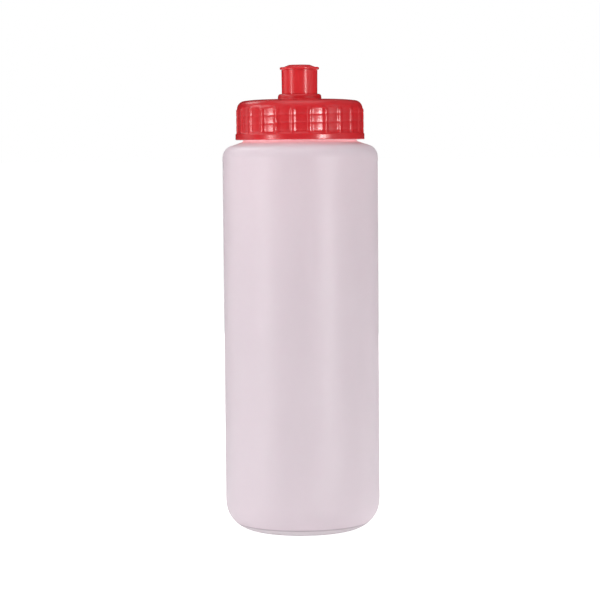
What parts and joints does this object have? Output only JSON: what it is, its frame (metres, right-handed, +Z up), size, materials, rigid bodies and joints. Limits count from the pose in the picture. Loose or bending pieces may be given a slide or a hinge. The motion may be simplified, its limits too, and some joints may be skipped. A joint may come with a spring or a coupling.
{
  "type": "sports squeeze bottle",
  "caption": "Translucent squeeze bottle with a ribbed red screw lid and a push-pull drinking spout.",
  "frame": {"origin": "centre of the base, level with the standing ring", "axes": "+Z up along the bottle's axis, towards the spout; +X to the right when seen from the front, which faces -Y"},
  "size_m": [0.0826, 0.0824, 0.247],
  "materials": {
    "bottle_ldpe": "satin translucent LDPE",
    "red_plastic": "satin moulded",
    "seal": "soft foamed sheet"
  },
  "bodies": {
    "bottle": {"bottle": "bottle_ldpe"},
    "gasket": {"gasket": "seal"},
    "lid": {"lid": "red_plastic"},
    "spout": {"spout": "red_plastic"}
  },
  "joints": [
    {"name": "thread_rise", "type": "slide", "parent": "bottle", "child": "gasket", "axis": [0, 0, 1], "range_m": [0, 0.0192]},
    {"name": "lid_turn", "type": "hinge", "parent": "gasket", "child": "lid", "pos_m": [0, 0, 0.226], "axis": [0, 0, 1], "range_deg": [0, 1620]},
    {"name": "spout_pull", "type": "slide", "parent": "lid", "child": "spout", "axis": [0, 0, 1], "range_m": [0, 0.006]}
  ],
  "couplings": [
    {"joint": "thread_rise", "follows": "lid_turn", "m_per_rad": 0.00067376}
  ]
}
